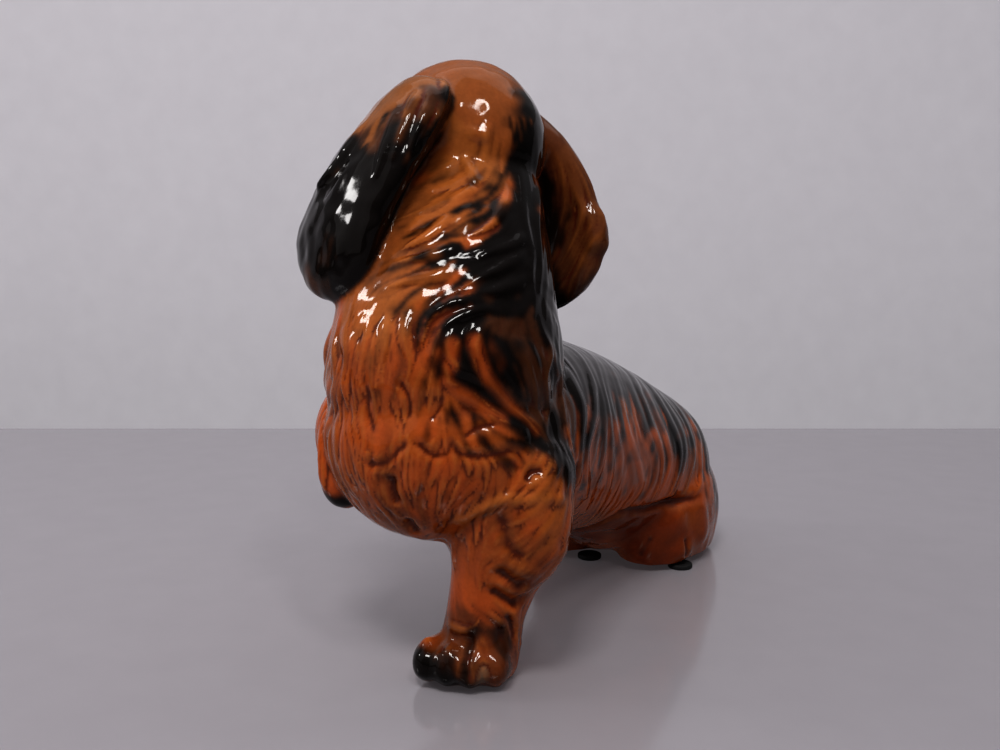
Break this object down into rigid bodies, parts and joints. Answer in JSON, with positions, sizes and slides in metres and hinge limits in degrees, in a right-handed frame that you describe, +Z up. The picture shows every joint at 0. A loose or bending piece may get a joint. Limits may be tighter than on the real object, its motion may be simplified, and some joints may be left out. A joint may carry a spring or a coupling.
{
  "type": "dog figurine",
  "caption": "Glazed ceramic long-haired dachshund seated on its haunches, one foreleg raised, head turned back over its shoulder, on thin rubber pads.",
  "frame": {"origin": "centre of the footprint of the bounding box, on the table", "axes": "+Z up, the dog's chest faces -Y, its left side is +X"},
  "size_m": [0.102, 0.1946, 0.162],
  "materials": {
    "coat_glaze": "high-gloss caramel to red-brown glaze with airbrushed black",
    "dark_glaze": "high-gloss black-brown glaze with brown showing through",
    "pad_rubber": "matt black"
  },
  "bodies": {
    "root": {"torso": "coat_glaze", "head": "coat_glaze", "left_ear": "dark_glaze", "right_ear": "dark_glaze", "left_foreleg": "coat_glaze", "right_foreleg": "coat_glaze", "left_hindleg": "coat_glaze", "right_hindleg": "coat_glaze", "tail": "coat_glaze", "pad_left": "pad_rubber", "pad_middle": "pad_rubber", "pad_right": "pad_rubber"}
  },
  "joints": []
}
